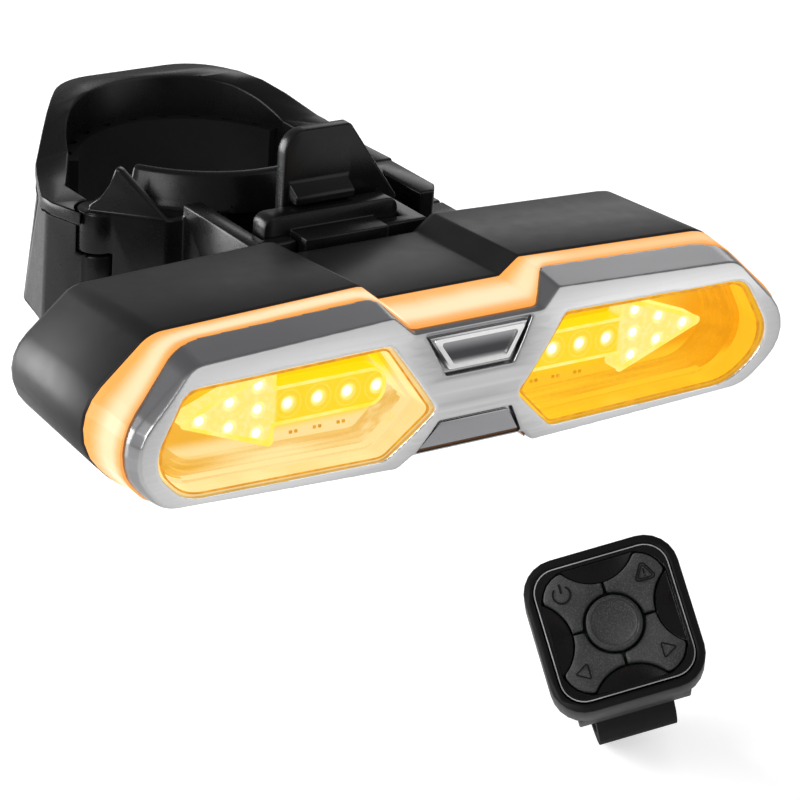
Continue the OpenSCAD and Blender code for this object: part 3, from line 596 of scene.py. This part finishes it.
def dressNodes():
    plain = {
        "gripRubber": ["saddle_pad", "band_pad", "seal_ring", "remote_pad", "port_cover", "remote_strap"],
        "plainSteel": ["hinge_pin", "latch_pin", "clamp_screw", "foot_screws", "usb_socket", "dome_switches"],
        "insertBrass": ["screw_insert"],
        "guideGlow": ["light_guide"],
        "lensClear": ["left_lens", "right_lens"],
        "leftTrayGlow": ["left_tray"],
        "rightTrayGlow": ["right_tray"],
        "arrowGlow": ["left_arrow", "right_arrow"],
        "ledGlow": ["leds"],
        "boardWhite": ["led_board"],
        "boardGreen": ["main_board", "remote_board"],
        "cellMetal": ["battery", "coin_cell"],
        "switchBlack": ["power_switch"],
        "housingPlastic": ["power_button"],
    }
    for name, nodes in plain.items():
        for node in nodes:
            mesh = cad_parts[node].data
            mesh.materials.clear()
            mesh.materials.append(finish[name])
            smooth(mesh)


def dressSkins():
    plastics = [("saddle", "bracket", 0.35), ("band", "band", 0.35), ("latch_tongue", "latch", 0.3),
                ("slide_foot", "bracket", 0.2)]
    for node, body, width in plastics:
        skin(node, body, "bracketPlastic", width)
    skin("rear_housing", "bracket", "housingPlastic", 0.15, angle=40)
    softBezel = softSkin("bezel", "bracket", "chromeBezel", voxel=0.13, rounds=10, share=0.22)
    paintBezelSheenAndShade(softBezel.data)
    skin("badge_plate", "bracket", "chromePlate", 0.2)
    skin("lower_plate", "bracket", "chromeLower", 0.15)
    skin("remote_case", "remote", "remotePlastic", 0.35)
    skin("remote_base", "remote", "remotePlastic", 0.3)
    softSkin("remote_rim", "remote", "remoteGloss", voxel=0.11, rounds=8, share=0.3)
    for key in ["power_key", "hazard_key", "left_key", "right_key", "centre_key"]:
        skin(key, key, "keyRubber", 0.4)


dressNodes()
dressSkins()
print("stage: nodes dressed")


def arrowLoop(inset):
    root = arrow["root"] + inset
    neckX = arrow["barbX"] + inset
    shaft = arrow["shaft"] - inset
    barb = arrow["barb"] - arrow["barbSlope"] * inset
    tip = arrow["columnX"] + arrow["tipAt"] * arrow["pitch"] + arrow["tipGap"] - arrow["tipSlope"] * inset
    end, neck, point = arrow["endRadius"] - inset, arrow["neckRadius"], arrow["pointRadius"]
    loop = rounded([(root, -shaft, end), (neckX, -shaft, neck), (neckX, -barb, point), (tip, 0, point),
                    (neckX, barb, point), (neckX, shaft, neck), (root, shaft, end)])
    return [Vector((p.x, p.y + arrow["z"])) for p in loop]


def lampPoint(point, depth, side):
    return Vector((point.x * side, -depth, point.y + lamp["z"])) * mm


def platePoint(point, lift):
    plate = {"bow": 30.0, "under": 0.25, "centre": -0.5}  # mm; the bezel's front is an arc
    reach = math.sqrt((plate["bow"] - plate["under"] + lift) ** 2 - (point.y - plate["centre"]) ** 2)
    return Vector((point.x, plate["bow"] - lamp["ridge"] - reach, point.y + lamp["z"])) * mm


def tube(name, loops, ends=False):
    count = len(loops[0])
    shape = bmesh.new()
    rows = [[shape.verts.new(p) for p in loop] for loop in loops]
    pairs = list(zip(rows, rows[1:])) + ([] if ends else [(rows[-1], rows[0])])
    for here, there in pairs:
        for n in range(count):
            k = (n + 1) % count
            shape.faces.new((here[n], here[k], there[k], there[n]))
    if ends:
        shape.faces.new(rows[0])
        shape.faces.new(rows[-1])
    bmesh.ops.recalc_face_normals(shape, faces=shape.faces)
    mesh = bpy.data.meshes.new(name)
    shape.to_mesh(mesh)
    shape.free()
    return mesh


def flatRing(name, outer, inner, low, high, place):
    return tube(name, [[place(p, low) for p in outer], [place(p, high) for p in outer],
                       [place(p, high) for p in inner], [place(p, low) for p in inner]])


def growTree(name, sockets, build):
    tree = bpy.data.node_groups.new(name, "GeometryNodeTree")
    tree.interface.new_socket("Geometry", in_out="INPUT", socket_type="NodeSocketGeometry")
    for label, kind in sockets.items():
        tree.interface.new_socket(label, in_out="INPUT", socket_type="NodeSocket" + kind)
    tree.interface.new_socket("Geometry", in_out="OUTPUT", socket_type="NodeSocketGeometry")
    start, end = tree.nodes.new("NodeGroupInput"), tree.nodes.new("NodeGroupOutput")

    def add(kind, **inputs):
        made = tree.nodes.new("GeometryNode" + kind)
        for key, value in inputs.items():
            target = made.inputs[key.replace("_", " ")]
            if isinstance(value, bpy.types.NodeSocket):
                tree.links.new(value, target)
            else:
                target.default_value = value
        return made.outputs[0]

    placed = add("RealizeInstances", Geometry=build(add, start.outputs))
    tree.links.new(add("SetMaterial", Geometry=placed, Material=start.outputs["Material"]), end.inputs[0])
    return tree


def grow(name, tree, values, body, material, seeds=()):
    seed = bpy.data.meshes.new(name + "Seed")
    seed.from_pydata(list(seeds), [], [])
    obj = bpy.data.objects.new(name + "Seed", seed)
    scene.collection.objects.link(obj)
    modifier = obj.modifiers.new(name, "NODES")
    modifier.node_group = tree
    for item in tree.interface.items_tree:
        if item.name in values and item.in_out == "INPUT":
            modifier[item.identifier] = values[item.name]
    bpy.context.view_layer.update()
    mesh = bpy.data.meshes.new_from_object(obj.evaluated_get(bpy.context.evaluated_depsgraph_get()))
    obj.modifiers.remove(modifier)
    bpy.data.objects.remove(obj)
    mesh.name = name
    addMesh(name, mesh, body, [material])


def placeDomes(add, given):
    dome = add("MeshUVSphere", Segments=20, Rings=10, Radius=given["Radius"])
    return add("InstanceOnPoints", Points=given["Geometry"], Scale=given["Squash"], Instance=dome)


def placeRow(add, given):
    dot = add("MeshCube", Size=given["Size"])
    line = add("MeshLine", Count=given["Count"], Start_Location=given["Start"], Offset=given["Offset"])
    return add("InstanceOnPoints", Instance=dot, Points=line)


domeTree = growTree("domes", {"Radius": "Float", "Squash": "Vector", "Material": "Material"}, placeDomes)
rowTree = growTree("row", {"Count": "Int", "Start": "Vector", "Offset": "Vector", "Size": "Vector",
                           "Material": "Material"}, placeRow)


def makeDomes():
    dome = {"radius": 0.46, "squash": (1.0, 0.4, 1.0), "sunk": 0.2}  # mm
    values = {"Radius": dome["radius"] * mm, "Squash": dome["squash"], "Material": finish["ledGlow"]}
    top = lamp["arrowFront"] - dome["sunk"]
    spots = [lampPoint(Vector((x, z + arrow["z"])), top, side) for x, z in ledPlaces for side in (-1, 1)]
    grow("lightDomes", domeTree, values, "bracket", "ledGlow", spots)


def makeDots():
    dot = {"size": (0.36, 0.3, 0.36), "apart": 0.75, "lift": 0.05}  # mm, set in pairs along a row
    rows = [("Low", 14.0, -6.2, 3.4, 3), ("High", 15.0, 4.3, 4.2, 2)]  # name, x, z, pitch and count
    for word, side in sides:
        for rowName, x, z, pitch, count in rows:
            for n in range(2):
                start = Vector((x + dot["apart"] * n, z))
                values = {
                    "Count": count,
                    "Start": lampPoint(start, lamp["trayFloor"] + dot["lift"], side),
                    "Offset": Vector((pitch * side, 0.0, 0.0)) * mm,
                    "Size": Vector(dot["size"]) * mm,
                    "Material": finish["resistorGlow"],
                }
                grow(f"{word}{rowName}Dots{n}", rowTree, values, "bracket", "resistorGlow")


def makeSteps(word, side):
    steps = {
        "count": 4, "draw": 0.028,  # each step is drawn in by this share towards the anchor
        "anchor": Vector((14.0, 4.6)), "margin": -0.12, "front": 62.2, "back": 58.85,  # mm
    }
    anchor = steps["anchor"]
    base = windowLoop(steps["margin"])
    shares = [1 - steps["draw"] * k for k in range(steps["count"] + 1)]
    drawn = [[anchor + (p - anchor) * share for p in base] for share in shares]
    fall = (steps["front"] - steps["back"]) / steps["count"]
    loops = []
    for k in range(steps["count"]):
        depth = steps["front"] - fall * k
        loops.append([lampPoint(p, depth, side) for p in drawn[k]])
        loops.append([lampPoint(p, depth, side) for p in drawn[k + 1]])
    loops.append([lampPoint(p, steps["back"], side) for p in drawn[-1]])
    loops.append([lampPoint(p, steps["back"], side) for p in drawn[0]])
    name = word + "TraySteps"
    addMesh(name, tube(name, loops), "bracket", [word + "StepGlow"])


def makeArrowLine(word, side):
    line = {"width": 0.42, "sunk": 0.1, "proud": 0.08}  # mm
    name = word + "ArrowLine"
    mesh = flatRing(name, arrowLoop(0.0), arrowLoop(line["width"]), lamp["arrowFront"] - line["sunk"],
                    lamp["arrowFront"] + line["proud"], lambda p, depth: lampPoint(p, depth, side))
    addMesh(name, mesh, "bracket", ["arrowLine"])


def makeWall(word, side):
    wall = {
        "outside": 0.02, "inside": -0.14, "lineInside": -0.2, "below": -0.35,  # mm
        "lineAt": 0.94,  # of the way to the front
    }

    def onWall(point, share):
        deep = lampPoint(point, lamp["lensBack"], side)
        front = platePoint(Vector((point.x * side, point.y)), wall["below"])
        return deep.lerp(front, share)

    outer = windowLoop(wall["outside"])
    liner = flatRing(word + "WindowWall", outer, windowLoop(wall["inside"]), 0.0, wall["lineAt"], onWall)
    addMesh(word + "WindowWall", liner, "bracket", [word + "WallGlow"])
    # painted highlight: a thin glowing line round each window's front edge
    edge = flatRing(word + "WindowLine", outer, windowLoop(wall["lineInside"]), wall["lineAt"], 1.0, onWall)
    addMesh(word + "WindowLine", edge, "bracket", ["resistorGlow"])


def makeBadge():
    badge = {
        "low": (4.4, 1.6), "high": (7.3, 6.0), "border": (0.25, 0.75), "radius": 0.3,  # mm
        "sunk": -0.1, "proud": 0.2,
        "lowSlope": 0.75, "highSlope": 2.0,  # how far an inset of 1 mm draws the corners in
    }

    def trapezoid(inset):
        (lowX, lowZ), (highX, highZ) = badge["low"], badge["high"]
        lowX -= badge["lowSlope"] * inset
        highX -= badge["highSlope"] * inset
        lowZ += inset
        highZ -= inset
        corners = [(-lowX, lowZ), (lowX, lowZ), (highX, highZ), (-highX, highZ)]
        return rounded([(x, z, badge["radius"]) for x, z in corners], 3)

    outer, inner = (trapezoid(inset) for inset in badge["border"])
    mesh = flatRing("badgeFrame", outer, inner, badge["sunk"], badge["proud"], platePoint)
    addMesh("badgeFrame", mesh, "bracket", ["chromeFrame"])


for word, side in sides:
    makeSteps(word, side)
    makeArrowLine(word, side)
    makeWall(word, side)
makeDomes()
makeDots()
makeBadge()
print("stage: windows made")


remote = {
    "face": Vector((104, 29, -98.5)), "tilt": 52, "yaw": -41, "roll": 23,  # mm and degrees
    "wide": 27.0, "cornerShare": 0.22, "rimTop": -0.7,
    # the edge keys place the painted highlight ring along the rim
    "edgeInset": 3.4, "edgeCorner": 1.7, "edgeFrom": 0.1, "edgeTo": 0.45, "edgeDraw": 0.17,
    "edgeSunk": 0.2, "edgeProud": 0.04,
}
remoteTurn = (Matrix.Rotation(math.radians(remote["yaw"]), 3, "Z")
              @ Matrix.Rotation(math.radians(remote["tilt"]), 3, "X")
              @ Matrix.Rotation(math.radians(remote["roll"]), 3, "Z"))


def remotePoint(point, height):
    return (remote["face"] + remoteTurn @ Vector((point.x, point.y, height))) * mm


def ribbon(points, width, closed):
    leastTurn = 0.35  # keeps a sharp bend from running out far
    left, right = [], []
    last = len(points) - 1
    for n, point in enumerate(points):
        before = points[n - 1] if n or closed else point
        after = points[(n + 1) % len(points)] if n < last or closed else point
        came = (point - before).normalized() if (point - before).length else (after - point).normalized()
        goes = (after - point).normalized() if (after - point).length else came
        normal = Vector((-(came + goes).y, (came + goes).x)).normalized()
        reach = width / 2 / max(leastTurn, normal.dot(Vector((-came.y, came.x))))
        left.append(point + normal * reach)
        right.append(point - normal * reach)
    return left, right


def iconLine(name, points, closed, body, width):
    low, high = -0.03, 0.07  # mm, from the key's top
    left, right = ribbon([Vector(p) for p in points], width, closed)
    if closed:
        mesh = flatRing(name, left, right, low, high, remotePoint)
    else:
        outline = left + right[::-1]
        loops = [[remotePoint(p, height) for p in outline] for height in (low, high)]
        mesh = tube(name, loops, ends=True)
    addMesh(name, mesh, body, ["iconInk"])


def triangle(centre, size, turn, radius):
    third = 2.0944  # radians in a third of a turn
    x, y = centre
    turns = [turn + third * n for n in range(3)]
    spots = [(x + size * math.cos(angle), y + size * math.sin(angle), radius) for angle in turns]
    return [tuple(p) for p in rounded(spots, 4)]


def makeIcons():
    sign = {"across": 7.2, "along": 6.9, "arcRadius": 1.5, "arcStart": 40, "arcSweep": 280, "arcSteps": 20}
    across, along, radius = sign["across"], sign["along"], sign["arcRadius"]
    turns = [math.radians(sign["arcStart"] + sign["arcSweep"] * n / sign["arcSteps"])
             for n in range(sign["arcSteps"] + 1)]
    arc = [(-across + radius * math.sin(angle), along + radius * math.cos(angle)) for angle in turns]
    iconLine("powerArc", arc, False, "power_key", 0.34)
    iconLine("powerBar", [(-across, along + 0.2), (-across, along + 1.9)], False, "power_key", 0.4)

    up = math.pi / 2
    middle = (across, along - 0.3)
    iconLine("hazardOuter", triangle(middle, 2.3, up, 0.5), True, "hazard_key", 0.24)
    iconLine("hazardInner", triangle(middle, 1.6, up, 0.25), True, "hazard_key", 0.18)
    iconLine("hazardBar", [(across, along - 0.35), (across, along + 0.55)], False, "hazard_key", 0.28)
    iconLine("hazardDot", [(across, along - 0.8), (across, along - 0.58)], False, "hazard_key", 0.26)
    iconLine("leftSign", triangle((-across, -along), 1.6, math.pi, 0.2), True, "left_key", 0.24)
    iconLine("rightSign", triangle((across, -along), 1.6, 0.0, 0.2), True, "right_key", 0.24)


def roundedSquare(wide, radius):
    half = wide / 2
    corners = [(-half, -half), (half, -half), (half, half), (-half, half)]
    return rounded([(x, y, radius) for x, y in corners], 8)


def makeRemoteEdgeHighlight():
    # painted highlight: a thin light grey ring where the rim's edge catches the light
    wide = remote["wide"] - remote["edgeInset"]
    radius = remote["cornerShare"] * remote["wide"] - remote["edgeCorner"]
    outer = roundedSquare(wide - remote["edgeFrom"], radius)
    inner = roundedSquare(wide - remote["edgeTo"], radius - remote["edgeDraw"])
    edge = flatRing("remoteEdgeHighlight", outer, inner, remote["rimTop"] - remote["edgeSunk"],
                    remote["rimTop"] + remote["edgeProud"], remotePoint)
    addMesh("remoteEdgeHighlight", edge, "remote", ["paintedEdgeHighlight"])


makeIcons()
makeRemoteEdgeHighlight()
print("stage: remote signs made")
